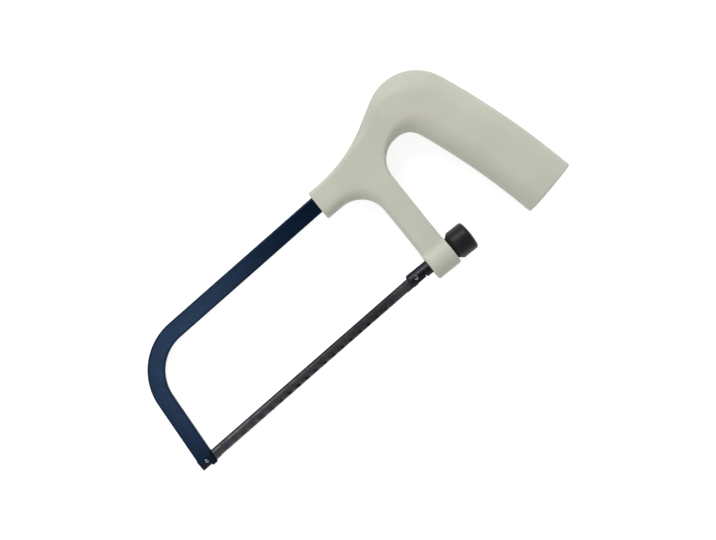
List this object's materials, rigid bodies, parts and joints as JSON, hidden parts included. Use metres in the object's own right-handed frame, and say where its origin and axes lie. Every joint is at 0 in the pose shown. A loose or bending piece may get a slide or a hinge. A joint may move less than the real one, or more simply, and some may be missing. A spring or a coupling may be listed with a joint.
{
  "type": "mini hacksaw",
  "caption": "Mini hacksaw with a bent flat-bar frame, a moulded pistol-grip handle and a pin-end blade held by a screw tensioner with a round knob.",
  "frame": {"origin": "centre of the bounding box at its underside, with the saw lying on its side", "axes": "+X runs back along the blade from the front pin to the handle, +Y from the blade to the frame bar, +Z across the saw and up as it lies on its side"},
  "size_m": [0.2568, 0.1044, 0.026],
  "materials": {
    "navy_paint": "satin navy paint on steel",
    "grey_plastic": "warm light grey moulded plastic, fine satin texture",
    "black_plastic": "satin black moulded plastic",
    "dark_steel": "blackened, lightly polished steel",
    "blade_steel": "dark grey tempered blade steel",
    "bright_steel": "bright plain steel",
    "brass": "turned brass"
  },
  "bodies": {
    "frame": {"frame_bar": "navy_paint", "handle": "grey_plastic", "thrust_washer": "bright_steel"},
    "knob": {"tension_knob": "black_plastic", "knob_insert": "brass"},
    "rod": {"tension_rod": "dark_steel"},
    "blade": {"blade": "blade_steel", "front_blade_pin": "bright_steel", "rear_blade_pin": "bright_steel"}
  },
  "joints": [
    {"name": "knob_turn", "type": "hinge", "parent": "frame", "child": "knob", "pos_m": [0.04316, -0.03913, 0.013], "axis": [0.9992, -0.0401, 0], "range_deg": [0, 1800]},
    {"name": "rod_slide", "type": "slide", "parent": "frame", "child": "rod", "axis": [-0.9992, 0.0401, 0], "range_m": [0, 0.004]},
    {"name": "blade_release", "type": "slide", "parent": "frame", "child": "blade", "axis": [0, -1, 0], "range_m": [0, 0.014]}
  ],
  "couplings": [
    {"joint": "rod_slide", "follows": "knob_turn", "m_per_rad": 0.00012732}
  ]
}
